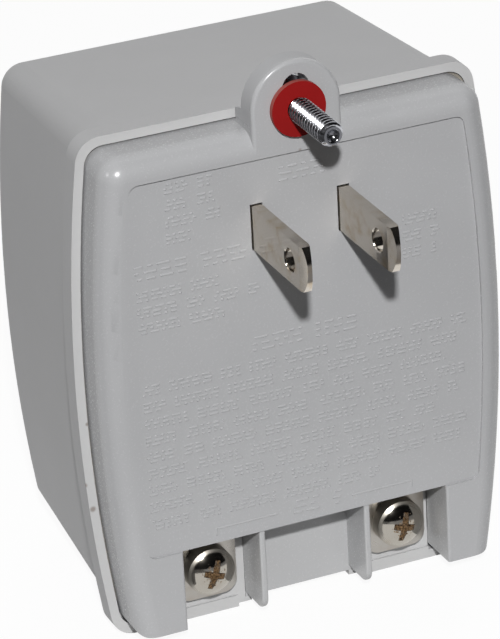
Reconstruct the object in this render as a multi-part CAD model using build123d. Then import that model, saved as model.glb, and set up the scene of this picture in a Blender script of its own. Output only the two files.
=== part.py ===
from build123d import *
from math import sqrt
import os

os.makedirs("parts", exist_ok=True)

# Plug-in wall transformer, in millimetres. The wall plane is y = 0: the blades point to -Y, the case
# lies at +Y, Z is up, and the origin is midway between the two blades.

# Case: flanged mouth, body with bowed sides that narrows to the far end
rim_half_width = 31.4
rim_top = 14.8
rim_bottom = -59.7
widest_level = -20.9
side_bow_radius = 235.0
rim_corner_radius = 3.6
rim_width = 1.3
rim_setback = 6.6
flange_depth = 3.2
mouth_depth = 1.8
mouth_corner_radius = 2.8
flange_overhang_side = 1.95
flange_overhang_top = 0.15
flange_overhang_bottom = 1.1
body_corner_radius = 4.5
body_bottom_corner_radius = 1.6
body_depth = 32.7
side_taper = 1.35
top_taper = 1.95
bottom_taper = 4.7
level_rise = 1.4
far_corner_radius = 3.3
far_bottom_corner_radius = 1.3
far_edge_radius = 0.6
case_wall = 2.2
lip_notch_half_width = 9.6
least_corner_radius = 0.6
cut_extra = 1.0

# Cover: a raised lid that sits in the mouth of the case
cover_clearance = 0.27
cover_bottom_gap = 0.98
cover_corner_radius = 3.2
cover_bottom_corner_radius = 1.7
cover_edge_radius = 2.9
cover_front_wall = 2.2
cover_side_wall = 1.9
recess_margin = 3.55
recess_depth = 0.4
recess_corner_radius = 1.4

# Tab at the top of the cover, with its slot and the two fins behind it
tab_radius = 6.45
tab_rise = 2.87
tab_thickness = 3.5
tab_edge_radius = 0.5
slot_play = 3.2
slot_clearance = 0.2
screw_hang = 0.15
fin_thickness = 1.4
fin_reach = 2.1
fin_lowering = 0.15
fin_drop = 0.55

# Terminal bay at the bottom of the cover
bay_half_width = 19.95
bay_height = 12.04
bay_edge_radius = 0.35
bay_floor_depth = 6.85
bay_wall = 1.6
tongue_drop = 1.15
rib_position = 7.95
rib_thickness = 0.9
rib_setback = 0.6
rib_tip_drop = 0.56
rib_tip_radius = 1.9
rib_edge_radius = 0.3

# Terminals
terminal_spacing = 29.0
terminal_height = 5.74
clamp_width = 9.0
clamp_height = 9.6
clamp_thickness = 1.0
clamp_corner_radius = 2.0
strip_thickness = 0.7
strip_margin = 0.4
strip_clearance = 0.1
strip_tail_reach = 7.4
strip_tail_width = 3.6
strip_tail_hole_radius = 0.9
strip_tail_hole_margin = 2.2
boss_depth = 6.8
boss_lift = 0.35
boss_overlap = 0.8
boss_hole_clearance = 0.4
sill_height = 1.75

# Screws: the same thread on the terminals and on the retaining screw
thread_radius = 1.75
tapped_clearance = 0.05
plate_hole_clearance = 0.2
terminal_head_radius = 3.5
terminal_head_side = 1.95
terminal_head_height = 3.3
terminal_screw_length = 7.0
cross_long_arm = 4.7
cross_short_arm = 3.3
cross_width = 1.05
cross_depth = 1.1
cross_taper = 18.0
cross_turn_left = 20.0
cross_turn_right = 14.0
retaining_head_radius = 3.4
retaining_head_height = 2.2
retaining_head_edge = 0.5
retaining_reach = 11.5
retaining_shank_radius = 1.55
retaining_chamfer = 0.3
head_relief_clearance = 0.3
drive_slot_width = 0.9
drive_slot_depth = 1.1
cup_radius = 1.15
cup_depth = 0.6
washer_radius = 3.9
washer_thickness = 0.8
washer_bore_clearance = 0.1
running_gap = 0.05

# Blades
blade_spacing = 12.7
blade_width = 6.35
blade_thickness = 1.52
blade_length = 16.6
blade_hole_radius = 1.6
blade_hole_chamfer = 0.15
blade_hole_distance = 11.7
blade_nose = 1.1
blade_bevel_length = 1.8
blade_bevel_depth = 0.45
blade_slot_clearance = 0.15
blade_shoulder_width = 9.0
blade_shoulder_depth = 1.6
blade_tail_width = 4.6
blade_tail_length = 3.0

# Transformer: laminated core, split bobbin, two windings under tape
core_side_clearance = 1.9
core_lift = 4.4
core_post_width = 4.0
core_post_inset = 3.5
coil_clearance = 2.6
coil_side_clearance = 1.05
bobbin_clearance = 0.2
bobbin_wall = 1.0
bobbin_flange = 1.1
winding_build_front = 3.65
winding_corner_radius = 2.5
tape_thickness = 0.35
fuse_radius = 1.1
fuse_length = 7.0
fuse_margin = 1.7
fuse_wire_radius = 0.35
fuse_wire_length = 1.2
lead_space = 4.1
lead_radius = 0.7
lead_bend_radius = 1.4
secondary_lead_spacing = 14.0

# Depths and levels that follow from the sizes above
flange_back = rim_setback + flange_depth
seat_depth = rim_setback + mouth_depth
far_depth = flange_back + body_depth
case_floor = far_depth - case_wall
cover_top = rim_top - rim_width - cover_clearance
cover_bottom = rim_bottom + rim_width + cover_bottom_gap
recess_top = cover_top - recess_margin
tab_level = cover_top + tab_rise
screw_level = tab_level - screw_hang
bay_top = cover_bottom + bay_height
tongue_bottom = cover_bottom - tongue_drop
rib_tip = cover_bottom - rib_tip_drop
rib_side = rib_position + rib_thickness / 2
terminal_level = cover_bottom + terminal_height
strip_bottom = terminal_level - clamp_height / 2 + strip_margin
strip_wide_top = terminal_level + clamp_height / 2 - strip_margin
strip_tail_top = bay_top + strip_tail_reach
strip_width = clamp_width - 2 * strip_margin
cover_wall_back = recess_depth + cover_front_wall
tongue_back = seat_depth - running_gap
bay_wall_back = bay_floor_depth - running_gap
boss_front = bay_floor_depth + running_gap
strip_back = bay_floor_depth + strip_thickness
clamp_front = bay_floor_depth - clamp_thickness
head_front = clamp_front - terminal_head_height
blade_x = blade_spacing / 2
terminal_x = terminal_spacing / 2
blade_tail_end = cover_wall_back + blade_shoulder_depth + blade_tail_length

# The core has the usual proportions of punched E and I sheets: middle leg a third of the width, yoke and
# windows a sixth, window height a half. Its stack fills the depth that the case leaves for the coil.
core_inner_half = rim_half_width - flange_overhang_side - side_taper - case_wall
core_width = 2 * (core_inner_half - core_side_clearance)
core_leg = core_width / 3
core_yoke = core_width / 6
core_height = core_width / 2 + 2 * core_yoke
core_bottom = bay_top + core_lift
core_top = core_bottom + core_height
window_bottom_level = core_bottom + core_yoke
window_top_level = core_top - core_yoke
coil_front = blade_tail_end + lead_space
coil_half_x = core_width / 2 - core_yoke - coil_side_clearance
coil_half_y = (case_floor - coil_clearance - coil_front) / 2
winding_half_x = coil_half_x - tape_thickness
winding_half_y = coil_half_y - tape_thickness
core_middle = coil_front + coil_half_y
former_half_x = core_leg / 2 + bobbin_clearance + bobbin_wall
former_half_y = winding_half_y - winding_build_front
core_stack = 2 * (former_half_y - bobbin_wall - bobbin_clearance)
core_front = core_middle - core_stack / 2
core_back = core_middle + core_stack / 2
coil_bottom = window_bottom_level + bobbin_clearance
coil_top = window_top_level - bobbin_clearance
coil_level = (coil_bottom + coil_top) / 2
fuse_top = coil_top - bobbin_flange - fuse_margin
fuse_run = coil_front - fuse_radius


def depth_plane(y):
    """Drawing plane at depth y: its X is X, its Y is Z and its normal points to the wall."""
    return Plane.XZ.offset(-y)


def slab(face, front, back):
    """Solid from a flat drawing, between two depths."""
    return extrude(depth_plane(back) * face, amount=back - front, dir=(0, -1, 0))


def block(x0, x1, y0, y1, z0, z1):
    """Box between two corners."""
    centre = ((x0 + x1) / 2, (y0 + y1) / 2, (z0 + z1) / 2)
    return Pos(*centre) * Box(x1 - x0, y1 - y0, z1 - z0)


def rod(x, z, radius, front, back):
    """Round bar along Y."""
    return slab(Pos(x, z) * Circle(radius), front, back)


def upright_block(half_x, half_y, bottom, top, radius):
    """Block round the middle leg of the core, with rounded upright edges."""
    plan = Pos(0, core_middle) * RectangleRounded(2 * half_x, 2 * half_y, radius)
    return extrude(Plane.XY.offset(bottom) * plan, amount=top - bottom, dir=(0, 0, 1))


def bowed_face(half_width, level, top, bottom, top_radius, bottom_radius):
    """Flat drawing with straight top and bottom, bowed sides and rounded corners."""
    def half_at(z):
        return half_width - side_bow_radius + sqrt(side_bow_radius**2 - (z - level) ** 2)

    middle = (top + bottom) / 2
    corners = [(half_at(top), top), (half_at(bottom), bottom)]
    upper_right, lower_right = corners
    upper_left, lower_left = [(-x, z) for x, z in corners]
    outline = [
        Line(upper_left, upper_right),
        ThreePointArc(upper_right, (half_at(middle), middle), lower_right),
        Line(lower_right, lower_left),
        ThreePointArc(lower_left, (-half_at(middle), middle), upper_left),
    ]
    face = make_face(outline)
    face = fillet(face.vertices().group_by(Axis.Y)[-1], top_radius)
    return fillet(face.vertices().group_by(Axis.Y)[0], bottom_radius)


def rim_face(inset, radius):
    """The rim's outline, moved in by inset."""
    top, bottom = rim_top - inset, rim_bottom + inset
    return bowed_face(rim_half_width - inset, widest_level, top, bottom, radius, radius)


def body_near_face(inset):
    """Outline of the body where it leaves the flange."""
    half = rim_half_width - flange_overhang_side - inset
    top = rim_top - flange_overhang_top - inset
    bottom = rim_bottom + flange_overhang_bottom + inset
    upper = max(body_corner_radius - inset, least_corner_radius)
    lower = max(body_bottom_corner_radius - inset, least_corner_radius)
    return bowed_face(half, widest_level, top, bottom, upper, lower)


def body_far_face(inset):
    """Outline of the body at its far end."""
    half = rim_half_width - flange_overhang_side - side_taper - inset
    top = rim_top - flange_overhang_top - top_taper - inset
    bottom = rim_bottom + flange_overhang_bottom + bottom_taper + inset
    upper = max(far_corner_radius - inset, least_corner_radius)
    lower = max(far_bottom_corner_radius - inset, least_corner_radius)
    return bowed_face(half, widest_level + level_rise, top, bottom, upper, lower)


def core_post_places():
    """Where the posts of the case and of the cover hold the outer corners of the core."""
    x = core_width / 2 - core_post_inset
    low = core_bottom + core_post_inset
    high = core_top - core_post_inset
    return [(-x, low), (x, low), (-x, high), (x, high)]


def terminal_boss(side):
    """Block in the mouth of the case that closes one terminal window from behind, with a sill and a foot."""
    inner, outer = rib_side + running_gap, bay_half_width - running_gap
    bottom, top = rim_bottom + boss_lift, bay_top + boss_overlap
    back = boss_front + boss_depth
    x0, x1 = sorted((side * inner, side * outer))
    boss = block(x0, x1, boss_front, back, bottom, top)
    x0, x1 = sorted((side * lip_notch_half_width, side * outer))
    boss += block(x0, x1, rim_setback, back, rim_bottom, rim_bottom + sill_height)
    x0, x1 = sorted((side * (rib_side - rib_thickness), side * outer))
    return boss + block(x0, x1, boss_front, back, bottom, tongue_bottom - running_gap)


def strip_groove(side):
    """Groove in the boss that the terminal strip lies in."""
    x = side * terminal_x
    wide = strip_width / 2 + strip_clearance
    narrow = strip_tail_width / 2 + strip_clearance
    front = bay_floor_depth - cut_extra
    above = bay_top + boss_overlap + cut_extra
    low, high = strip_bottom - strip_clearance, strip_wide_top + strip_clearance
    groove = block(x - wide, x + wide, front, strip_back, low, high)
    return groove + block(x - narrow, x + narrow, front, strip_back, low, above)


def front_case():
    """Deep moulded case, with a flange at its mouth and a boss behind each terminal."""
    flange = slab(rim_face(0, rim_corner_radius), rim_setback, flange_back)
    near = depth_plane(flange_back) * body_near_face(0)
    far = depth_plane(far_depth) * body_far_face(0)
    body = loft([near, far])
    body = fillet(body.faces().sort_by(Axis.Y)[-1].edges(), far_edge_radius)
    outer = flange + body

    ahead = rim_setback - cut_extra
    mouth = slab(rim_face(rim_width, mouth_corner_radius), ahead, seat_depth)
    inner_near = depth_plane(ahead) * body_near_face(case_wall)
    inner_far = depth_plane(case_floor) * body_far_face(case_wall)
    case = outer - mouth - loft([inner_near, inner_far])

    lip = lip_notch_half_width
    case -= block(-lip, lip, ahead, flange_back, rim_bottom - cut_extra, rim_bottom + rim_width)

    half = core_post_width / 2
    for x, z in core_post_places():
        case += block(x - half, x + half, core_back, far_depth - case_wall / 2, z - half, z + half)
    for side in (-1, 1):
        case += outer & terminal_boss(side)
        case -= strip_groove(side)
        hole_back = clamp_front + terminal_screw_length + boss_hole_clearance
        case -= rod(side * terminal_x, terminal_level, thread_radius + boss_hole_clearance, ahead, hole_back)
    return case


def cover_tab():
    """Rounded tab above the cover, with its slot and the fins that stiffen it."""
    outline = Pos(0, tab_level) * Circle(tab_radius)
    root = cover_top - cover_edge_radius
    outline += Pos(0, (tab_level + root) / 2) * Rectangle(2 * tab_radius, tab_level - root)
    tab = slab(outline, 0, tab_thickness)
    rounded = tab.edges().filter_by(GeomType.CIRCLE).group_by(Axis.Y)[0]
    tab = fillet(rounded, tab_edge_radius)

    fin_back = tab_thickness + fin_reach
    fin_top = tab_level - fin_lowering
    fin_outline = [
        (tab_thickness / 2, root),
        (tab_thickness / 2, fin_top),
        (tab_thickness, fin_top),
        (fin_back, fin_top - fin_drop),
        (fin_back, root),
    ]
    fin = extrude(Plane.YZ * make_face(Polyline(fin_outline, close=True)), amount=fin_thickness)
    for x in (-tab_radius, tab_radius - fin_thickness):
        tab += Pos(x, 0, 0) * fin
    return tab


def tab_slot():
    """Upright slot that the retaining screw hangs in."""
    radius = thread_radius + slot_clearance
    slack = radius - retaining_shank_radius - running_gap
    straight = slot_play - 2 * slack
    slot = Pos(0, screw_level + slot_play / 2) * SlotCenterToCenter(straight, 2 * radius, rotation=90)
    return slab(slot, -cut_extra, tab_thickness + cut_extra)


def bay_rib(x):
    """Thin upright rib between two pockets of the bay, with a rounded lower tip."""
    middle = Pos((rib_setback + tongue_back) / 2, (bay_top + rib_tip) / 2)
    outline = middle * Rectangle(tongue_back - rib_setback, bay_top - rib_tip)
    front_tip = outline.vertices().sort_by(lambda v: v.X + v.Y)[0]
    outline = fillet(front_tip, rib_tip_radius)
    rib = extrude(Plane.YZ * outline, amount=rib_thickness)
    front_edges = [edge for edge in rib.edges() if edge.center().Y < tongue_back / 2 and edge.length > rib_thickness]
    front_edges = [edge for edge in front_edges if edge.center().Z < bay_top - rib_thickness]
    return Pos(x - rib_thickness / 2, 0, 0) * fillet(front_edges, rib_edge_radius)


def cover_face(inset, bottom, bottom_radius):
    """The cover's outline, moved in by inset and ended at the level bottom."""
    half = rim_half_width - rim_width - cover_clearance - inset
    top_radius = max(cover_corner_radius - inset, least_corner_radius)
    return bowed_face(half, widest_level, cover_top - inset, bottom, top_radius, bottom_radius)


def cover_shell():
    """The lid itself: front edge rounded at the top and sides, hollow behind, with walls for the bay."""
    run_off = cover_bottom - cover_corner_radius - cut_extra
    shell = slab(cover_face(0, run_off, cover_corner_radius), 0, seat_depth)
    shell = fillet(shell.faces().sort_by(Axis.Y)[0].edges(), cover_edge_radius)
    shell &= slab(cover_face(0, cover_bottom, cover_bottom_corner_radius), 0, seat_depth)

    behind = seat_depth + cut_extra
    hollow_face = cover_face(cover_side_wall, cover_bottom + cover_side_wall, least_corner_radius)
    hollow = slab(hollow_face, cover_wall_back, behind)
    bay_side = bay_half_width + bay_wall
    bay_roof = bay_top + bay_wall
    hollow -= block(-bay_side, bay_side, 0, bay_wall_back, cover_bottom, bay_roof)
    hollow -= block(-rib_side, rib_side, 0, tongue_back, cover_bottom, bay_roof)

    recess_half = rim_half_width - rim_width - cover_clearance - recess_margin
    radius = recess_corner_radius
    recess = bowed_face(recess_half, widest_level, recess_top, bay_top, radius, radius)
    return shell - hollow - slab(recess, -cut_extra, recess_depth)


def back_cover():
    """Moulded lid with the recessed panel, the terminal bay, the tab and the posts on the core."""
    cover = cover_shell()
    below = cover_bottom - cut_extra
    behind = seat_depth + cut_extra
    cover -= block(-bay_half_width, bay_half_width, -cut_extra, bay_floor_depth, below, bay_top)
    for side in (-1, 1):
        x0, x1 = sorted((side * rib_side, side * bay_half_width))
        cover -= block(x0, x1, -cut_extra, behind, below, bay_top)
    leg_edges = [edge for edge in cover.edges() if abs(edge.center().Y) < running_gap]
    leg_edges = [edge for edge in leg_edges if abs(abs(edge.center().X) - bay_half_width) < running_gap]
    cover = fillet(leg_edges, bay_edge_radius)
    for side in (-1, 1):
        cover += bay_rib(side * rib_position)
    cover += block(-rib_side, rib_side, bay_floor_depth, tongue_back, tongue_bottom, bay_top)

    cover += cover_tab()
    cover -= tab_slot()
    cover -= rod(0, screw_level, retaining_head_radius + head_relief_clearance, tab_thickness, behind)

    half_x = blade_thickness / 2 + blade_slot_clearance
    half_z = blade_width / 2 + blade_slot_clearance
    for x in (-blade_x, blade_x):
        cover -= block(x - half_x, x + half_x, -cut_extra, cover_wall_back + cut_extra, -half_z, half_z)
    half = core_post_width / 2
    post_start = cover_wall_back - cover_front_wall / 2
    for x, z in core_post_places():
        cover += block(x - half, x + half, post_start, core_front, z - half, z + half)
    return cover


def line_blade():
    """Flat contact blade with a hole, a bevelled tip, and a shoulder and tail behind the wall."""
    half = blade_width / 2
    shoulder = blade_shoulder_width / 2
    tail = blade_tail_width / 2
    tip = -blade_length
    shoulder_back = cover_wall_back + blade_shoulder_depth
    upper = [
        (tip + blade_nose, half),
        (cover_wall_back, half),
        (cover_wall_back, shoulder),
        (shoulder_back, shoulder),
        (shoulder_back, tail),
        (blade_tail_end, tail),
    ]
    lower = [(y, -z) for y, z in reversed(upper)]
    nose = ThreePointArc(lower[-1], (tip, 0), upper[0])
    outline = make_face([Polyline(upper + lower), nose])
    outline -= Pos(-blade_hole_distance, 0) * Circle(blade_hole_radius)
    blade = extrude(Plane.YZ * outline, amount=blade_thickness / 2, both=True)
    hole_edges = blade.faces().filter_by(GeomType.CYLINDER).sort_by(Axis.Y)[-1].edges()
    blade = chamfer(hole_edges.filter_by(GeomType.CIRCLE), blade_hole_chamfer)

    side = blade_thickness / 2
    inner = side - blade_bevel_depth
    bevel_outline = [(inner, tip), (side, tip + blade_bevel_length), (side, tip)]
    for sign in (-1, 1):
        corner = make_face(Polyline([(sign * x, y) for x, y in bevel_outline], close=True))
        blade -= extrude(corner, amount=blade_width, both=True)
    return blade


def retaining_screw():
    """Screw that holds the plugged-in unit to the wall plate: slotted head, bare shank, cupped end."""
    head_front_depth = tab_thickness + running_gap
    head_back = head_front_depth + retaining_head_height
    head = rod(0, screw_level, retaining_head_radius, head_front_depth, head_back)
    head = fillet(head.edges().group_by(Axis.Y)[-1], retaining_head_edge)
    half_slot = drive_slot_width / 2
    slot_end = retaining_head_radius + cut_extra
    slot_floor = head_back - drive_slot_depth
    slot_behind = head_back + cut_extra
    head -= block(-slot_end, slot_end, slot_floor, slot_behind, screw_level - half_slot, screw_level + half_slot)
    thread_start = -washer_thickness - 2 * running_gap
    shank = rod(0, screw_level, retaining_shank_radius, thread_start, head_front_depth)
    thread = rod(0, screw_level, thread_radius, -retaining_reach, thread_start)
    thread = chamfer(thread.edges().group_by(Axis.Y)[0], retaining_chamfer)
    cup_place = Pos(0, -retaining_reach + cup_depth / 2, screw_level) * Rot(90, 0, 0)
    return head + shank + thread - cup_place * Cone(0, cup_radius, cup_depth)


def retaining_washer():
    """Fibre washer that keeps the retaining screw from falling out."""
    back = -running_gap
    ring = Circle(washer_radius) - Circle(retaining_shank_radius + washer_bore_clearance)
    return slab(Pos(0, screw_level) * ring, back - washer_thickness, back)


def terminal_screw(cross_turn):
    """Binding screw with a domed head and a cross recess, turned clockwise by cross_turn."""
    rise = terminal_head_height - terminal_head_side
    dome_radius = (terminal_head_radius**2 + rise**2) / (2 * rise)
    head = rod(0, 0, terminal_head_radius, head_front, clamp_front)
    head &= Pos(0, head_front + dome_radius, 0) * Sphere(dome_radius)
    cross = Rectangle(cross_short_arm, cross_width) + Rectangle(cross_width, cross_long_arm)
    head -= extrude(depth_plane(head_front) * cross, amount=cross_depth, dir=(0, 1, 0), taper=cross_taper)
    shank = rod(0, 0, thread_radius, clamp_front, clamp_front + terminal_screw_length)
    return Pos(0, 0, terminal_level) * Rot(0, cross_turn, 0) * (head + shank)


def terminal_clamp():
    """Square plate that presses the wire on the strip."""
    plate = RectangleRounded(clamp_width, clamp_height, clamp_corner_radius)
    plate -= Circle(thread_radius + plate_hole_clearance)
    return slab(Pos(0, terminal_level) * plate, clamp_front, bay_floor_depth)


def terminal_strip():
    """Tapped strip behind the plate, with a tail for the secondary lead."""
    plate_height = strip_wide_top - strip_bottom
    height = strip_tail_top - strip_bottom
    strip = Pos(0, strip_bottom + plate_height / 2) * Rectangle(strip_width, plate_height)
    strip += Pos(0, strip_bottom + height / 2) * Rectangle(strip_tail_width, height)
    strip -= Pos(0, terminal_level) * Circle(thread_radius + tapped_clearance)
    strip -= Pos(0, strip_tail_top - strip_tail_hole_margin) * Circle(strip_tail_hole_radius)
    return slab(strip, bay_floor_depth, strip_back)


def core_e_laminations():
    """Stack of E-shaped sheets: three upright legs on a common yoke."""
    half = core_width / 2
    inner = core_leg / 2
    outer = half - core_yoke
    ahead = core_front - cut_extra
    behind = core_back + cut_extra
    above = window_top_level + cut_extra
    stack = block(-half, half, core_front, core_back, core_bottom, window_top_level)
    for low_x, high_x in ((-outer, -inner), (inner, outer)):
        stack -= block(low_x, high_x, ahead, behind, window_bottom_level, above)
    return stack


def core_i_laminations():
    """Stack of straight sheets that closes the core at the top."""
    half = core_width / 2
    return block(-half, half, core_front, core_back, window_top_level, core_top)


def bobbin():
    """Moulded former with end flanges and a middle flange between the windings."""
    hole_x = former_half_x - bobbin_wall
    hole_y = former_half_y - bobbin_wall
    former = upright_block(former_half_x, former_half_y, coil_bottom, coil_top, bobbin_wall)
    for level in (coil_bottom, coil_level - bobbin_flange / 2, coil_top - bobbin_flange):
        former += upright_block(coil_half_x, coil_half_y, level, level + bobbin_flange, winding_corner_radius)
    return former - upright_block(hole_x, hole_y, coil_bottom, coil_top, bobbin_clearance)


def winding_span(lower):
    """Bottom and top of the lower or the upper chamber of the bobbin."""
    if lower:
        return coil_bottom + bobbin_flange, coil_level - bobbin_flange / 2
    return coil_level + bobbin_flange / 2, coil_top - bobbin_flange


def winding(lower):
    """Copper turns in one chamber, as one solid."""
    bottom, top = winding_span(lower)
    turns = upright_block(winding_half_x, winding_half_y, bottom, top, winding_corner_radius)
    return turns - upright_block(former_half_x, former_half_y, bottom, top, bobbin_wall)


def tape(lower):
    """Insulating tape round one winding."""
    bottom, top = winding_span(lower)
    wrap = upright_block(coil_half_x, coil_half_y, bottom, top, winding_corner_radius)
    return wrap - upright_block(winding_half_x, winding_half_y, bottom, top, winding_corner_radius)


def tube(points):
    """Insulated lead along a path with equal bends."""
    path = FilletPolyline(points, radius=lead_bend_radius)
    start = Plane(origin=path @ 0, z_dir=path % 0)
    return sweep(start * Circle(lead_radius), path=path)


def thermal_fuse():
    """Thermal cut-out that lies on the primary tape below the left blade."""
    bottom = fuse_top - fuse_length
    wire_middle = bottom - fuse_wire_length / 2
    can = Pos(-blade_x, fuse_run, (fuse_top + bottom) / 2) * Cylinder(fuse_radius, fuse_length)
    return can + Pos(-blade_x, fuse_run, wire_middle) * Cylinder(fuse_wire_radius, fuse_wire_length)


def primary_lead_left():
    """Lead from the tail of the left blade to the fuse."""
    x = -blade_x
    return tube([(x, blade_tail_end, 0), (x, fuse_run, 0), (x, fuse_run, fuse_top)])


def primary_lead_right():
    """Lead from the tail of the right blade to the primary winding."""
    x = blade_x
    run = (blade_tail_end + coil_front) / 2
    return tube([(x, blade_tail_end, 0), (x, run, 0), (x, run, fuse_top), (x, coil_front, fuse_top)])


def secondary_lead(side):
    """Lead from the secondary winding to one terminal strip."""
    start = side * terminal_x
    end = side * secondary_lead_spacing / 2
    low = strip_tail_top - strip_tail_hole_margin
    high = (coil_bottom + coil_level) / 2
    run = (strip_back + coil_front) / 2
    return tube([(start, strip_back, low), (start, run, low), (end, run, high), (end, coil_front, high)])


NODES = {
    "front_case": front_case(),
    "back_cover": back_cover(),
    "retaining_screw": retaining_screw(),
    "retaining_washer": retaining_washer(),
    "core_e_laminations": core_e_laminations(),
    "core_i_laminations": core_i_laminations(),
    "bobbin": bobbin(),
    "primary_winding": winding(lower=False),
    "secondary_winding": winding(lower=True),
    "primary_tape": tape(lower=False),
    "secondary_tape": tape(lower=True),
    "thermal_fuse": thermal_fuse(),
    "primary_lead_left": primary_lead_left(),
    "primary_lead_right": primary_lead_right(),
}
for side, name, cross_turn in ((-1, "left", cross_turn_left), (1, "right", cross_turn_right)):
    NODES["line_blade_" + name] = Pos(side * blade_x, 0, 0) * line_blade()
    NODES["terminal_screw_" + name] = Pos(side * terminal_x, 0, 0) * terminal_screw(cross_turn)
    NODES["terminal_clamp_" + name] = Pos(side * terminal_x, 0, 0) * terminal_clamp()
    NODES["terminal_strip_" + name] = Pos(side * terminal_x, 0, 0) * terminal_strip()
    NODES["secondary_lead_" + name] = secondary_lead(side)

for name, solid in NODES.items():
    export_step(solid, "parts/" + name + ".step")
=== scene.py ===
import math
import random

import bmesh
import bpy
from mathutils import Matrix, Vector


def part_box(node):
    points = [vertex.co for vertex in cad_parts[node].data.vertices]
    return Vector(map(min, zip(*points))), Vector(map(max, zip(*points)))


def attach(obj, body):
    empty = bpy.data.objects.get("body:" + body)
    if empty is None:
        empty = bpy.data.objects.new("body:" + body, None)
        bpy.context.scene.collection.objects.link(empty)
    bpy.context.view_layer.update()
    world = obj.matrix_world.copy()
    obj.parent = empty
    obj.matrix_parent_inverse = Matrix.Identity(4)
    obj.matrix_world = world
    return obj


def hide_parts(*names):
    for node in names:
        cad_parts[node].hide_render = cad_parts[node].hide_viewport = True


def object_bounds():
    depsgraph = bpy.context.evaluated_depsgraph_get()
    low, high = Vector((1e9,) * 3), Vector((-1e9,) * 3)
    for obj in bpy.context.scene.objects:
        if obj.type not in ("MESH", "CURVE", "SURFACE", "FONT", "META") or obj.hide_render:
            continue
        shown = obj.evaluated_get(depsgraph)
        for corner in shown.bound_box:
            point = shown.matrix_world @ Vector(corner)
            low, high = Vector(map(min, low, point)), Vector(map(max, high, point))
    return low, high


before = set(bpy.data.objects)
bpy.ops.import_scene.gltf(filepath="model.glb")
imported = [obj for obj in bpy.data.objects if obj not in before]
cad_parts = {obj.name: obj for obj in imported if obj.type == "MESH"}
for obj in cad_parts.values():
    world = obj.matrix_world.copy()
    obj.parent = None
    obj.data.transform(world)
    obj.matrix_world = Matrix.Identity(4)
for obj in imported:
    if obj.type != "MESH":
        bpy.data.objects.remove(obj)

cad_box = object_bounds()


# Front case: the deep box of the unit, moulded in light grey plastic with a fine spark-eroded texture.
# Its flange is left smooth from the tool, so it shines a little, and its front is whiter than the walls. The
# sides of the flange keep the grey of the walls, which is painted shade.
def node_adder(tree):
    """Helper that adds one node to a tree, with its settings and with values or links for its inputs."""
    def add(kind, inputs=None, **settings):
        node = tree.nodes.new(kind)
        for name, value in settings.items():
            setattr(node, name, value)
        for name, value in (inputs or {}).items():
            if isinstance(value, bpy.types.NodeSocket):
                tree.links.new(value, node.inputs[name])
            else:
                node.inputs[name].default_value = value
        return node

    return add


def reckon(add, operation, *terms):
    """Result of one sum or comparison."""
    return add("ShaderNodeMath", dict(enumerate(terms)), operation=operation).outputs[0]


def reach(add, place, centre):
    """Distance of a place from a centre."""
    return add("ShaderNodeVectorMath", {0: place, 1: centre}, operation="DISTANCE").outputs["Value"]


def fade(add, value, start, end, low=0, high=1):
    """Soft step of a value, from low at its start to high at its end."""
    inputs = {"Value": value, "From Min": start, "From Max": end, "To Min": low, "To Max": high}
    return add("ShaderNodeMapRange", inputs, interpolation_type="SMOOTHSTEP").outputs[0]


def between(add, share, low, high):
    """Value part of the way from low to high."""
    return add("ShaderNodeMapRange", {"Value": share, "To Min": low, "To Max": high}).outputs[0]


def mixed(add, share, first, second):
    """Colour part of the way from the first to the second."""
    inputs = {"Factor": share, "A": first, "B": second}
    return add("ShaderNodeMix", inputs, data_type="RGBA").outputs["Result"]


def surface_group(name, settings):
    """New shader group that takes the given settings and puts out a colour, a roughness and a normal."""
    tree = bpy.data.node_groups.new(name, "ShaderNodeTree")
    for label, kind, value in settings:
        tree.interface.new_socket(name=label, in_out="INPUT", socket_type=kind).default_value = value
    results = {"Colour": "NodeSocketColor", "Roughness": "NodeSocketFloat", "Normal": "NodeSocketVector"}
    for label, kind in results.items():
        tree.interface.new_socket(name=label, in_out="OUTPUT", socket_type=kind)
    return tree, node_adder(tree)


def moulded_plastic_group():
    """Shader group of a moulded surface: faint clouds in the colour, and a fine even texture."""
    cloud_middle, grain_dulling = 0.5, 0.12
    tree, add = surface_group("moulded_plastic", (
        ("Colour", "NodeSocketColor", (0.4, 0.4, 0.4, 1)),
        ("Clouding", "NodeSocketFloat", 0.05),
        ("Grain Scale", "NodeSocketFloat", 3000.0),
        ("Grain Depth", "NodeSocketFloat", 0.00002),
        ("Roughness", "NodeSocketFloat", 0.5),
    ))
    given = add("NodeGroupInput").outputs
    place = add("ShaderNodeTexCoord").outputs["Object"]

    clouds = add("ShaderNodeTexNoise", {"Vector": place, "Scale": 120, "Detail": 4}).outputs["Fac"]
    uneven = reckon(add, "SUBTRACT", clouds, cloud_middle)
    lift = reckon(add, "MULTIPLY_ADD", uneven, given["Clouding"], 1)
    tinted = add("ShaderNodeVectorMath", {0: given["Colour"], "Scale": lift}, operation="SCALE").outputs[0]

    texture = {"Vector": place, "Scale": given["Grain Scale"], "Detail": 3, "Roughness": 0.6}
    grain = add("ShaderNodeTexNoise", texture).outputs["Fac"]
    bump = add("ShaderNodeBump", {"Distance": given["Grain Depth"], "Height": grain}).outputs[0]
    dulled = reckon(add, "MULTIPLY_ADD", grain, grain_dulling, given["Roughness"])
    add("NodeGroupOutput", {"Colour": tinted, "Roughness": dulled, "Normal": bump})
    return tree


moulded_plastic = moulded_plastic_group()


def start_material(name):
    """New node material, with the helper that adds its nodes and with its shader."""
    material = bpy.data.materials.new(name)
    material.use_nodes = True
    return material, node_adder(material.node_tree), material.node_tree.nodes["Principled BSDF"]


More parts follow.
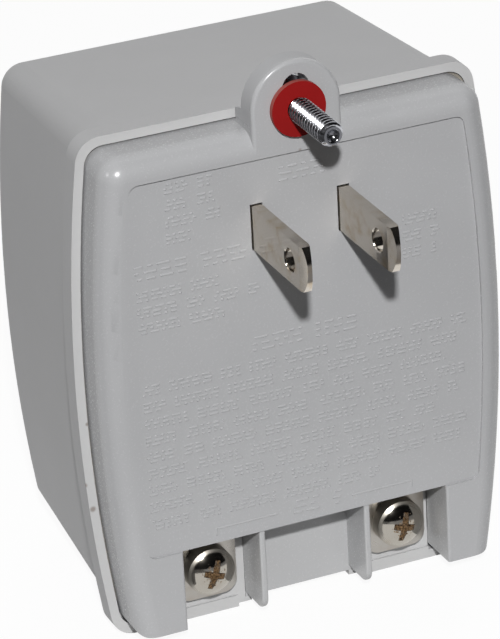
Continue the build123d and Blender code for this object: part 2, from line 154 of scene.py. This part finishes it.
def use_group(add, shader, group, **values):
    """Places a surface group in a material, with its values, and wires it to the shader."""
    inputs = {name.replace("_", " "): value for name, value in values.items()}
    surface = add("ShaderNodeGroup", inputs, node_tree=group)
    join = shader.id_data.links.new
    join(surface.outputs["Colour"], shader.inputs["Base Color"])
    join(surface.outputs["Roughness"], shader.inputs["Roughness"])
    join(surface.outputs["Normal"], shader.inputs["Normal"])


def paint(material, *pieces):
    """Gives CAD nodes their finish."""
    for piece in pieces:
        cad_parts[piece].material_slots[0].material = material


def add_specks(add, place, colour, specks):
    """Puts small specks of dirt on a colour, each with its centre and its size."""
    dirt_brown, dirt_cover, solid_share = (0.14, 0.09, 0.06, 1), 0.6, 0.3
    for centre, size in specks:
        spot = fade(add, reach(add, place, centre), size * solid_share, size, dirt_cover, 0)
        colour = mixed(add, spot, colour, dirt_brown)
    return colour


def case_material():
    wall_grey_and_painted_shade, flange_white = (0.405, 0.405, 0.41, 1), (0.50, 0.50, 0.50, 1)
    wall_roughness, flange_roughness = 0.5, 0.32
    front_slope, flange_depth = -0.7, 0.0098
    specks = (
        ((-0.0311, 0.0066, -0.0353), 0.0005),
        ((-0.0302, 0.0066, -0.0391), 0.0006),
        ((-0.0301, 0.0066, -0.0262), 0.0004),
    )
    material, add, shader = start_material("case_plastic")
    place = add("ShaderNodeTexCoord").outputs["Object"]
    level = add("ShaderNodeSeparateXYZ", {0: place}).outputs
    normal = add("ShaderNodeNewGeometry").outputs["True Normal"]
    facing = add("ShaderNodeSeparateXYZ", {0: normal}).outputs
    # Only faces turned to the front get the flange's white; the flange's sides get the wall grey as painted
    # shade.
    front = reckon(add, "LESS_THAN", facing["Y"], front_slope)
    near = reckon(add, "LESS_THAN", level["Y"], flange_depth)
    flange = reckon(add, "MULTIPLY", front, near)
    clean = mixed(add, flange, wall_grey_and_painted_shade, flange_white)
    use_group(add, shader, moulded_plastic, Colour=add_specks(add, place, clean, specks),
              Roughness=between(add, flange, wall_roughness, flange_roughness),
              Clouding=0.06, Grain_Scale=3200, Grain_Depth=0.000018)
    return material


paint(case_material(), "front_case")


# Back cover: the raised lid that carries the blades and the terminals, moulded in the same plastic as the
# case and welded into its mouth. Its tab, ribs and terminal bay are one moulding with it.
def cover_material():
    panel_grey, bay_grey_and_painted_light = (0.40, 0.402, 0.41, 1), (0.43, 0.432, 0.437, 1)
    panel_roughness, tab_wall_roughness = 0.2, 0.6
    bay_half_width, bay_top, bay_front = 0.0212, -0.0453, 0.0004
    tab_foot, tab_front = 0.0142, 0.0008
    specks = (((0.0002, 0.0002, 0.0098), 0.0004),)
    material, add, shader = start_material("cover_plastic")
    place = add("ShaderNodeTexCoord").outputs["Object"]
    level = add("ShaderNodeSeparateXYZ", {0: place}).outputs
    # The terminal bay is paler than the panel: partly its smoother moulded finish, partly painted light that
    # stands in for light bounced into the bay.
    across = reckon(add, "ABSOLUTE", level["X"])
    middle = reckon(add, "LESS_THAN", across, bay_half_width)
    low = reckon(add, "LESS_THAN", level["Z"], bay_top)
    sunk = reckon(add, "GREATER_THAN", level["Y"], bay_front)
    bay = reckon(add, "MULTIPLY", reckon(add, "MULTIPLY", middle, low), sunk)
    high = reckon(add, "GREATER_THAN", level["Z"], tab_foot)
    set_back = reckon(add, "GREATER_THAN", level["Y"], tab_front)
    tab_wall = reckon(add, "MULTIPLY", high, set_back)
    clean = mixed(add, bay, panel_grey, bay_grey_and_painted_light)
    use_group(add, shader, moulded_plastic, Colour=add_specks(add, place, clean, specks),
              Roughness=between(add, tab_wall, panel_roughness, tab_wall_roughness),
              Clouding=0.05, Grain_Scale=3600, Grain_Depth=0.0000015)
    return material


cover_plastic = cover_material()
paint(cover_plastic, "back_cover")


# Weld bead: the cover is welded into the mouth of the case, and a little plastic, browned by the heat, has
# risen in the seam between them.
def metres(x, y, z):
    """Point in metres, from one in millimetres."""
    return x / 1000, y / 1000, z / 1000


def finish_mesh(name, mesh):
    """Object of that name, from a worked mesh."""
    data = bpy.data.meshes.new(name)
    mesh.to_mesh(data)
    mesh.free()
    piece = bpy.data.objects.new(name, data)
    bpy.context.collection.objects.link(piece)
    return piece


def even_finish(name, group, metallic=0, **values):
    """Material with one finish all over, from a surface group and its values."""
    material, add, shader = start_material(name)
    shader.inputs["Metallic"].default_value = metallic
    use_group(add, shader, group, **values)
    return material


def seam_path(half_width, top, corner):
    """Points in millimetres along the seam, from low on the right over the top to low on the left."""
    bow, widest_level, low = 235, -20.9, -54
    side_steps, corner_steps = 40, 12
    middle = half_width - bow
    corner_z = top - corner
    corner_x = middle + math.sqrt((bow - corner) ** 2 - (corner_z - widest_level) ** 2)
    lean = math.atan2(corner_z - widest_level, corner_x - middle)
    first = math.asin((low - widest_level) / bow)
    side = [first + (lean - first) * i / side_steps for i in range(side_steps)]
    turn = [lean + (math.pi / 2 - lean) * i / corner_steps for i in range(corner_steps + 1)]
    right = [(middle + bow * math.cos(a), widest_level + bow * math.sin(a)) for a in side]
    right += [(corner_x + corner * math.cos(a), corner_z + corner * math.sin(a)) for a in turn]
    return right + [(-x, z) for x, z in reversed(right)]


def weld_bead():
    cover_half_width, cover_top = 29.8, 13.2
    foot, crown = 7.3, 7.1
    mesh = bmesh.new()
    rows = []
    for outward, corner, depth in ((0, 3.2, foot), (0.17, 3.0, crown), (0.33, 2.8, foot)):
        path = seam_path(cover_half_width + outward, cover_top + outward, corner)
        rows.append([mesh.verts.new(metres(x, depth, z)) for x, z in path])
    for inner, outer in zip(rows, rows[1:]):
        for i in range(len(inner) - 1):
            mesh.faces.new((inner[i], outer[i], outer[i + 1], inner[i + 1]))
    bmesh.ops.recalc_face_normals(mesh, faces=mesh.faces[:])
    bead = finish_mesh("weld_bead", mesh)
    bead.data.materials.append(even_finish(
        "weld_bead", moulded_plastic, Colour=(0.34, 0.315, 0.27, 1), Clouding=0.9, Grain_Scale=900,
        Grain_Depth=0.00005, Roughness=0.5))
    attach(bead, "unit")


weld_bead()


# Raised marks on the panel of the cover: rows of plain dashes and two bracket lines over the terminals.
# They are cut into the mould, so they are of the cover's plastic, and a seventh of a millimetre high.
def add_dash(mesh, x0, x1, z0, z1):
    """One low dash with sloping sides and clipped corners."""
    panel_y, height, side_slope, clip_share = 0.4, 0.14, 0.7, 0.3

    def loop(inset, y):
        a, b, c, d = x0 + inset, x1 - inset, z0 + inset, z1 - inset
        clip = min(b - a, d - c) * clip_share
        ring = [(a + clip, c), (b - clip, c), (b, c + clip), (b, d - clip), (b - clip, d), (a + clip, d),
                (a, d - clip), (a, c + clip)]
        return [mesh.verts.new(metres(x, y, z)) for x, z in ring]

    low, high = loop(0, panel_y), loop(height * side_slope, panel_y - height)
    mesh.faces.new(high)
    for i in range(len(low)):
        j = (i + 1) % len(low)
        mesh.faces.new((low[i], low[j], high[j], high[i]))


def panel_marks():
    heading_scale = 1.5
    bracket_level, bracket_foot, bracket_inner, bracket_outer, line = -43.4, -44.3, 5.6, 14.6, 0.3
    pick = random.Random(4)
    mesh = bmesh.new()

    def add_row(level, start, end, scale=1):
        """Row of blocks as long as words, each of three lines of broken dashes."""
        block_lengths, dash_lengths, indents = (2.5, 7), (0.5, 0.5, 0.9, 1.3), (0, 0, 0.4)
        least_block, least_dash, dash_height = 1, 0.3, 0.36
        dash_gap, line_step, block_gap = 0.4 * scale, 0.6 * scale, 1.3 * scale
        while start < end - least_block:
            stop = min(start + pick.uniform(*block_lengths) * scale, end)
            for low in (level - line_step, level, level + line_step):
                x = start + pick.choice(indents)
                while x < stop - least_dash:
                    length = min(pick.choice(dash_lengths) * scale, stop - x)
                    add_dash(mesh, x, x + length, low, low + dash_height)
                    x += length + dash_gap
            start = stop + block_gap

    def add_rows(top, step, start, ends):
        """Rows one below the other, each with its own end."""
        for i, end in enumerate(ends):
            add_row(top - step * i, start, end)

    # Millimetres: the level of the top row, the step to the next, the left end, and each row's right end.
    add_rows(8.0, 2.4, -19.4, (-12.1, -12.2, -11.5, -15.9))
    add_rows(-6.6, 2.35, -24.2, (-10.3, -6.2, -10.8))
    add_rows(-4.0, 2.45, 14.8, (20.4, 20.4, 20.4))
    add_rows(-20.4, 2.5, -24.2, (24.0, 22.5, 21.0, 24.0, 22.5, 21.0, 24.0, 22.5))
    add_row(-40.6, -24.0, 10.0)
    for level, start, end in ((6.6, -2.9, 4.0), (-3.2, -24.3, -8.1), (-17.2, -8.0, 7.5), (-43.1, -3.2, 4.2)):
        add_row(level, start, end, heading_scale)
    for side in (-1, 1):
        inner, outer = side * bracket_inner, side * bracket_outer
        x0, x1 = sorted((inner, outer))
        add_dash(mesh, x0, x1, bracket_level, bracket_level + line)
        x0, x1 = sorted((outer, outer + side * line))
        add_dash(mesh, x0, x1, bracket_foot, bracket_level + line)
    marks = finish_mesh("panel_marks", mesh)
    marks.data.materials.append(cover_plastic)
    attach(marks, "unit")


panel_marks()


# Line blades: two flat strips of brass, stamped, bevelled at the tip and nickel plated. A shoulder behind
# the wall of the cover holds each one.
def plated_metal_group():
    """Shader group of a plated metal: fine lines along one direction, dull patches and brown tarnish."""
    tarnish_start, tarnish_full, patch_dulling = 0.45, 0.8, 0.15
    tree, add = surface_group("plated_metal", (
        ("Colour", "NodeSocketColor", (0.6, 0.58, 0.54, 1)),
        ("Tarnish Colour", "NodeSocketColor", (0.30, 0.22, 0.14, 1)),
        ("Tarnish", "NodeSocketFloat", 0.2),
        ("Stretch", "NodeSocketVector", (3000, 300, 3000)),
        ("Line Depth", "NodeSocketFloat", 0.000004),
        ("Roughness", "NodeSocketFloat", 0.25),
    ))
    given = add("NodeGroupInput").outputs
    place = add("ShaderNodeTexCoord").outputs["Object"]

    stretched = add("ShaderNodeVectorMath", {0: place, 1: given["Stretch"]}, operation="MULTIPLY").outputs[0]
    lines = add("ShaderNodeTexNoise", {"Vector": stretched, "Scale": 1, "Detail": 3}).outputs["Fac"]
    bump = add("ShaderNodeBump", {"Distance": given["Line Depth"], "Height": lines}).outputs[0]

    patches = add("ShaderNodeTexNoise", {"Vector": place, "Scale": 420, "Detail": 5}).outputs["Fac"]
    stain = fade(add, patches, tarnish_start, tarnish_full, 0, given["Tarnish"])
    tone = mixed(add, stain, given["Colour"], given["Tarnish Colour"])
    dulled = reckon(add, "MULTIPLY_ADD", patches, patch_dulling, given["Roughness"])
    add("NodeGroupOutput", {"Colour": tone, "Roughness": dulled, "Normal": bump})
    return tree


plated_metal = plated_metal_group()
blade_nickel = even_finish(
    "blade_nickel", plated_metal, metallic=1, Colour=(0.60, 0.555, 0.49, 1), Tarnish=0.8,
    Tarnish_Colour=(0.44, 0.33, 0.19, 1), Stretch=(2500, 250, 2500), Line_Depth=0.000003, Roughness=0.08)
paint(blade_nickel, "line_blade_left", "line_blade_right")


# Fibre washer: red vulcanised fibre, punched from sheet. It is pressed over the thread of the retaining
# screw and keeps it from falling out of the tab.
def washer_material():
    edge_red, face_red = (0.29, 0.07, 0.06, 1), (0.245, 0.0045, 0.0045, 1)
    material, add, shader = start_material("washer_fibre")
    shader.inputs["Specular IOR Level"].default_value = 0.2
    normal = add("ShaderNodeNewGeometry").outputs["True Normal"]
    facing = add("ShaderNodeSeparateXYZ", {0: normal}).outputs
    flat = reckon(add, "ABSOLUTE", facing["Y"])
    use_group(add, shader, moulded_plastic, Colour=mixed(add, flat, edge_red, face_red), Clouding=0.6,
              Grain_Scale=5000, Grain_Depth=0.00002, Roughness=0.6)
    return material


paint(washer_material(), "retaining_washer")


# Retaining screw: a steel machine screw, zinc plated, with a slotted head behind the tab, a bare shank in
# the slot and a rolled thread that ends in a cup.
screw_near, screw_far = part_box("retaining_screw")
screw_level = (screw_near.z + screw_far.z) / 2


def retaining_screw_mesh():
    around, thread_steps, pitch = 64, 240, 0.00079375
    crest, root, shank, cup, middle = 0.00175, 0.0014, 0.00155, 0.00095, 0.0001
    flank_top, flank_slope = 1.35, 3.4
    thread_start, run_out_slope = -0.0009, 0.5
    tip, chamfer_length, chamfer_slope = screw_near.y, 0.00055, 0.9
    head_radius, head_front, head_back = 0.0034, 0.00355, screw_far.y
    head_outline = ((middle, head_back), (0.0029, head_back), (0.00325, head_back - 0.0002),
                    (head_radius, head_back - 0.0005), (head_radius, head_front), (shank, head_front))
    cup_outline = ((cup, tip), (0.00088, tip + 0.00005), (0.0007, tip + 0.00035), (0.0004, tip + 0.0006),
                   (middle, tip + 0.0007))

    def thread_radius(y, turn):
        """Radius of the thread at a depth and a share of one turn."""
        phase = (y / pitch + turn) % 1
        ridge = min(1, max(0, flank_top - flank_slope * abs(phase - 0.5)))
        chamfer = crest - max(0, tip + chamfer_length - y) * chamfer_slope
        run_out = shank + max(0, thread_start - y) * run_out_slope
        return min(root + (crest - root) * ridge, chamfer, run_out)

    turns = [k / around for k in range(around)]
    rows = [(y, [radius] * around) for radius, y in head_outline]
    for i in range(thread_steps + 1):
        y = thread_start + (tip - thread_start) * i / thread_steps
        rows.append((y, [thread_radius(y, turn) for turn in turns]))
    rows += [(y, [radius] * around) for radius, y in cup_outline]

    mesh = bmesh.new()
    rings = []
    for y, radii in rows:
        spokes = [(r, 2 * math.pi * turn) for r, turn in zip(radii, turns)]
        rings.append([mesh.verts.new((r * math.cos(a), y, screw_level + r * math.sin(a))) for r, a in spokes])
    for ring, following in zip(rings, rings[1:]):
        for k in range(around):
            n = (k + 1) % around
            mesh.faces.new((ring[k], following[k], following[n], ring[n]))
    mesh.faces.new(rings[0])
    mesh.faces.new(list(reversed(rings[-1])))
    bmesh.ops.recalc_face_normals(mesh, faces=mesh.faces[:])
    for face in mesh.faces:
        face.smooth = True
    return finish_mesh("retaining_screw_thread", mesh)


def cut_drive_slot(screw):
    """Cuts the driver's slot across the back of the head."""
    length, width, slot_floor, behind, sharp_edge = 0.008, 0.0009, 0.00465, 0.0065, math.radians(40)
    mesh = bmesh.new()
    middle = Matrix.Translation((0, (slot_floor + behind) / 2, screw_level))
    size = Matrix.Diagonal((length, behind - slot_floor, width, 1))
    bmesh.ops.create_cube(mesh, size=1, matrix=middle @ size)
    saw = finish_mesh("drive_slot", mesh)
    cut = screw.modifiers.new("drive_slot", "BOOLEAN")
    cut.operation = "DIFFERENCE"
    cut.solver = "EXACT"
    cut.object = saw
    sawn = screw.evaluated_get(bpy.context.evaluated_depsgraph_get())
    screw.data = bpy.data.meshes.new_from_object(sawn)
    screw.modifiers.clear()
    bpy.data.objects.remove(saw)
    screw.data.set_sharp_from_angle(angle=sharp_edge)


retaining_screw = retaining_screw_mesh()
cut_drive_slot(retaining_screw)
retaining_screw.data.materials.clear()
retaining_screw.data.materials.append(even_finish(
    "screw_zinc", plated_metal, metallic=1, Colour=(0.52, 0.53, 0.56, 1), Tarnish=0.3,
    Tarnish_Colour=(0.30, 0.30, 0.32, 1), Stretch=(2500, 2500, 2500), Line_Depth=0.000003, Roughness=0.1))
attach(retaining_screw, "retaining_screw")
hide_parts("retaining_screw")


# Terminal screws: nickel-plated steel binding screws. The plating is bright on the dome, and the cross
# recess has gone brown where the driver wore it away.
def terminal_screw_material():
    bright_nickel = (0.42, 0.395, 0.35, 1)
    dark_grime, pale_grime = (0.07, 0.04, 0.02, 1), (0.27, 0.17, 0.085, 1)
    axis, dome_front, dome_curve = (0.0145, 0, -0.05168), 0.00255, 96
    recess_lip, recess_wall, recess_radius = 0.00004, 0.0002, 0.0026
    plated_fleck, bare_fleck = 0.62, 0.5
    stain_middle, stain_slope, stain_start, stain_full = 0.15, -150, 0.5, 0.58
    dark_crumb, pale_crumb = 0.4, 0.6
    satin_start, satin_full, satin_roughness = 0.0029, 0.0033, 0.3
    bright_roughness, worn_roughness, worn_metallic = 0.04, 0.45, 0.25
    material, add, shader = start_material("terminal_screw_nickel")
    place = add("ShaderNodeTexCoord").outputs["Object"]
    level = add("ShaderNodeSeparateXYZ", {0: place}).outputs
    across = reckon(add, "ABSOLUTE", level["X"])
    flat_place = add("ShaderNodeCombineXYZ", {"X": across, "Z": level["Z"]}).outputs[0]
    radius = reach(add, flat_place, axis)

    dome = reckon(add, "MULTIPLY_ADD", reckon(add, "POWER", radius, 2), dome_curve, dome_front)
    sunk = reckon(add, "SUBTRACT", level["Y"], dome)
    inside = reckon(add, "LESS_THAN", radius, recess_radius)
    recess = reckon(add, "MULTIPLY", fade(add, sunk, recess_lip, recess_wall), inside)

    flecks = add("ShaderNodeTexNoise", {"Vector": place, "Scale": 2600, "Detail": 4}).outputs["Fac"]
    scraped = reckon(add, "MULTIPLY", recess, fade(add, flecks, plated_fleck, bare_fleck))
    nearness = reckon(add, "MULTIPLY_ADD", radius, stain_slope, stain_middle)
    stain = fade(add, reckon(add, "ADD", nearness, flecks), stain_start, stain_full)
    worn = reckon(add, "MAXIMUM", scraped, stain)

    crumbs = add("ShaderNodeTexNoise", {"Vector": place, "Scale": 4500, "Detail": 2}).outputs["Fac"]
    grime = mixed(add, fade(add, crumbs, dark_crumb, pale_crumb), dark_grime, pale_grime)
    dull = between(add, worn, bright_roughness, worn_roughness)
    satin = fade(add, radius, satin_start, satin_full, 0, satin_roughness)
    use_group(add, shader, plated_metal, Colour=mixed(add, worn, bright_nickel, grime),
              Roughness=reckon(add, "ADD", dull, satin), Tarnish=0.3, Stretch=(1500, 1500, 1500),
              Line_Depth=0.000002)
    material.node_tree.links.new(between(add, worn, 1, worn_metallic), shader.inputs["Metallic"])
    return material


paint(terminal_screw_material(), "terminal_screw_left", "terminal_screw_right")


# Terminal clamp plates: square plates stamped from steel and nickel plated, with a hole for the screw.
# Each lies loose under the head of its screw, which pulls it down on the wire.
clamp_nickel = even_finish(
    "clamp_nickel", plated_metal, metallic=1, Colour=(0.42, 0.40, 0.37, 1), Tarnish=0.35,
    Stretch=(600, 600, 2600), Line_Depth=0.000003, Roughness=0.22)
paint(clamp_nickel, "terminal_clamp_left", "terminal_clamp_right")


# Terminal strips: stamped from brass and tapped for the terminal screws, one behind each clamp plate.
# Each has a tail that the secondary lead is soldered to.
strip_brass = even_finish(
    "strip_brass", plated_metal, metallic=1, Colour=(0.62, 0.44, 0.18, 1), Tarnish=0.3,
    Stretch=(2500, 2500, 300), Line_Depth=0.000003, Roughness=0.25)
paint(strip_brass, "terminal_strip_left", "terminal_strip_right")


# Core: silicon-steel sheets, half a millimetre thick, punched as Es and as Is and stacked.
# The stacks are dipped in varnish, which holds the sheets together.
core_steel = even_finish(
    "core_steel", plated_metal, metallic=0.7, Colour=(0.16, 0.16, 0.17, 1), Tarnish=0.5,
    Tarnish_Colour=(0.14, 0.07, 0.03, 1), Stretch=(60, 2000, 60), Line_Depth=0.00003, Roughness=0.4)
paint(core_steel, "core_e_laminations", "core_i_laminations")


# Bobbin: natural nylon, moulded in one piece, with a flange at each end that holds the wire.
# A middle flange keeps the two windings apart.
bobbin_nylon = even_finish(
    "bobbin_nylon", moulded_plastic, Colour=(0.70, 0.66, 0.55, 1), Clouding=0.08, Grain_Scale=1500,
    Grain_Depth=0.00001, Roughness=0.4)
paint(bobbin_nylon, "bobbin")


# Windings: enamelled copper wire, laid turn beside turn on the bobbin by machine.
# The primary lies on one side of the bobbin's middle flange and the secondary on the other.
winding_copper = even_finish(
    "winding_copper", plated_metal, metallic=1, Colour=(0.50, 0.20, 0.08, 1), Tarnish=0.25,
    Stretch=(80, 80, 3500), Line_Depth=0.00004, Roughness=0.3)
paint(winding_copper, "primary_winding", "secondary_winding")


# Tapes: yellow polyester film with a sticky back, one wound over each winding.
# They hold the last turns of the wire and keep it from the core.
tape_film = even_finish(
    "tape_film", moulded_plastic, Colour=(0.72, 0.50, 0.06, 1), Clouding=0.12, Grain_Scale=400,
    Grain_Depth=0.00003, Roughness=0.2)
paint(tape_film, "primary_tape", "secondary_tape")


# Thermal fuse: a small lacquered metal can, soldered into the primary circuit.
# It opens that circuit for good when the coil overheats.
fuse_can = even_finish(
    "fuse_can", plated_metal, metallic=0.6, Colour=(0.62, 0.62, 0.60, 1), Tarnish=0.2,
    Stretch=(900, 900, 900), Line_Depth=0.000004, Roughness=0.3)
paint(fuse_can, "thermal_fuse")


# Leads: stranded copper wire in soft insulation, black on the blade side and yellow on the terminal side.
# They are soldered to the tails of the blades and of the terminal strips.
def lead_material(name, colour):
    return even_finish(name, moulded_plastic, Colour=colour, Clouding=0.15, Grain_Scale=900,
                       Grain_Depth=0.00001, Roughness=0.3)


lead_black, lead_yellow = (0.03, 0.03, 0.03, 1), (0.66, 0.48, 0.06, 1)
paint(lead_material("primary_lead_pvc", lead_black), "primary_lead_left", "primary_lead_right")
paint(lead_material("secondary_lead_pvc", lead_yellow), "secondary_lead_left", "secondary_lead_right")


# Stage: a white sheet on a dark table, in a white surround that shows but hardly lights the unit. One lamp
# near the camera and one at the left light the front, and two behind light the top and the back. A dark
# curtain and two floor cloths before the unit only show in the metal.
def where_seen(add):
    """Mask of the rays that show a surface: camera, mirror and glass rays."""
    rays = add("ShaderNodeLightPath").outputs
    seen = reckon(add, "MAXIMUM", rays["Is Camera Ray"], rays["Is Glossy Ray"])
    return reckon(add, "MAXIMUM", seen, rays["Is Transmission Ray"])


def stage_mesh(name, points, faces, material):
    """Object of that name for the stage, from its points and faces."""
    data = bpy.data.meshes.new(name)
    data.from_pydata(points, [], faces)
    data.materials.append(material)
    piece = bpy.data.objects.new(name, data)
    bpy.context.collection.objects.link(piece)
    return piece


floor_z = cad_box[0][2]


def table_material():
    shown_white, glow = (0.9, 0.9, 0.9, 1), 0.93
    sheet_middle, sheet_edge, table_start = (0, 0.02, floor_z), 0.06, 0.14
    sheet_white, table_dark = 0.5, 0.03
    material, add, shader = start_material("table_paper")
    seen = where_seen(add)
    place = add("ShaderNodeTexCoord").outputs["Object"]
    sheet = fade(add, reach(add, place, sheet_middle), sheet_edge, table_start, sheet_white, table_dark)
    use_group(add, shader, moulded_plastic, Colour=mixed(add, seen, sheet, shown_white), Clouding=0.02,
              Grain_Scale=500, Grain_Depth=0.00001, Roughness=0.7)
    share = reckon(add, "MULTIPLY", seen, glow)
    light = add("ShaderNodeEmission").outputs[0]
    blend = add("ShaderNodeMixShader", {"Fac": share, 1: shader.outputs[0], 2: light}).outputs[0]
    surface = material.node_tree.nodes["Material Output"].inputs["Surface"]
    material.node_tree.links.new(blend, surface)
    return material


table_half = 4
table_corners = [(x * table_half, y * table_half, floor_z) for x, y in ((-1, -1), (1, -1), (1, 1), (-1, 1))]
table = stage_mesh("table", table_corners, [(0, 1, 2, 3)], table_material())

surround_light, surround_shown = 0.02, 1
world = bpy.data.worlds.new("white_surround")
bpy.context.scene.world = world
world.use_nodes = True
add_surround = node_adder(world.node_tree)
surround = world.node_tree.nodes["Background"]
surround.inputs["Color"].default_value = (1, 1, 1, 1)
surround_strength = between(add_surround, where_seen(add_surround), surround_light, surround_shown)
world.node_tree.links.new(surround_strength, surround.inputs["Strength"])


def add_cloth(name, colour, first, last, rings):
    """Cloth through rings of a radius and a height, from first to last degree, that only shows in gloss."""
    arcs = 30
    row = arcs + 1
    points = []
    for radius, height in rings:
        for k in range(row):
            way = math.radians(first + (last - first) * k / arcs)
            points.append((radius * math.sin(way), -radius * math.cos(way), floor_z + height))
    corners = [i * row + k for i in range(len(rings) - 1) for k in range(arcs)]
    faces = [(c, c + 1, c + row + 1, c + row) for c in corners]
    weave = even_finish(name, moulded_plastic, Colour=colour, Clouding=0.3, Grain_Scale=40,
                        Grain_Depth=0.001, Roughness=0.85)
    cloth = stage_mesh(name, points, faces, weave)
    cloth.visible_camera = False
    cloth.visible_diffuse = False
    cloth.visible_shadow = False


room_radius, curtain_rise, curtain_steps = 1.9, 85, 12
cloth_start, cloth_lift = 0.05, 0.0002
rises = [math.radians(curtain_rise * i / curtain_steps) for i in range(curtain_steps + 1)]
curtain_rings = [(room_radius * math.cos(a), room_radius * math.sin(a)) for a in rises]
floor_rings = [(cloth_start, cloth_lift), (room_radius, cloth_lift)]
add_cloth("dark_curtain", (0.02, 0.02, 0.022, 1), -100, 80, curtain_rings)
add_cloth("dark_floor_cloth", (0.03, 0.03, 0.032, 1), -100, -20, floor_rings)
add_cloth("grey_floor_cloth", (0.25, 0.25, 0.26, 1), -20, 80, floor_rings)


def add_lamp(name, way, distance, size, energy, mirrored=True):
    """Square lamp that shines on the unit from the given way, and shows in its gloss where mirrored."""
    unit_middle = Vector((0, 0, -0.02))
    data = bpy.data.lights.new(name, "AREA")
    data.size = size
    data.energy = energy
    lamp = bpy.data.objects.new(name, data)
    bpy.context.collection.objects.link(lamp)
    way = Vector(way).normalized()
    lamp.location = unit_middle + way * distance
    lamp.rotation_euler = way.to_track_quat("Z", "Y").to_euler()
    lamp.visible_glossy = mirrored


# The way to each lamp, its distance and its size in metres, and its power in watts.
add_lamp("key", (-0.30, -0.76, 0.58), 0.9, 0.036, 8.55)
add_lamp("left_fill", (-0.88, -0.15, 0.46), 1.6, 0.2, 2.9)
add_lamp("top_back_fill", (0.3, 0.7, 0.65), 1.5, 0.8, 4.4, mirrored=False)
add_lamp("low_back_fill", (0.6, 0.79, 0.1), 1.5, 0.25, 10, mirrored=False)

# The camera's lens, its three axes, the point it looks at and its distance are fitted to the photograph.
camera_data = bpy.data.cameras.new("camera")
camera_data.sensor_fit = "HORIZONTAL"
camera_data.sensor_width = 36
camera_data.lens = 295.2
camera_data.clip_start = 0.01
camera = bpy.data.objects.new("camera", camera_data)
bpy.context.collection.objects.link(camera)
right = Vector((0.91436, -0.40179, -0.05016))
up = Vector((0.21150, 0.36830, 0.90533))
back = Vector((-0.34528, -0.83841, 0.42174))
aim, distance = Vector((-0.008292, 0, -0.013013)), 0.549157
turned = Matrix((right, up, back)).transposed().to_4x4()
camera.matrix_world = Matrix.Translation(aim + back * distance) @ turned
bpy.context.scene.camera = camera

bpy.context.scene.view_settings.view_transform = "Standard"
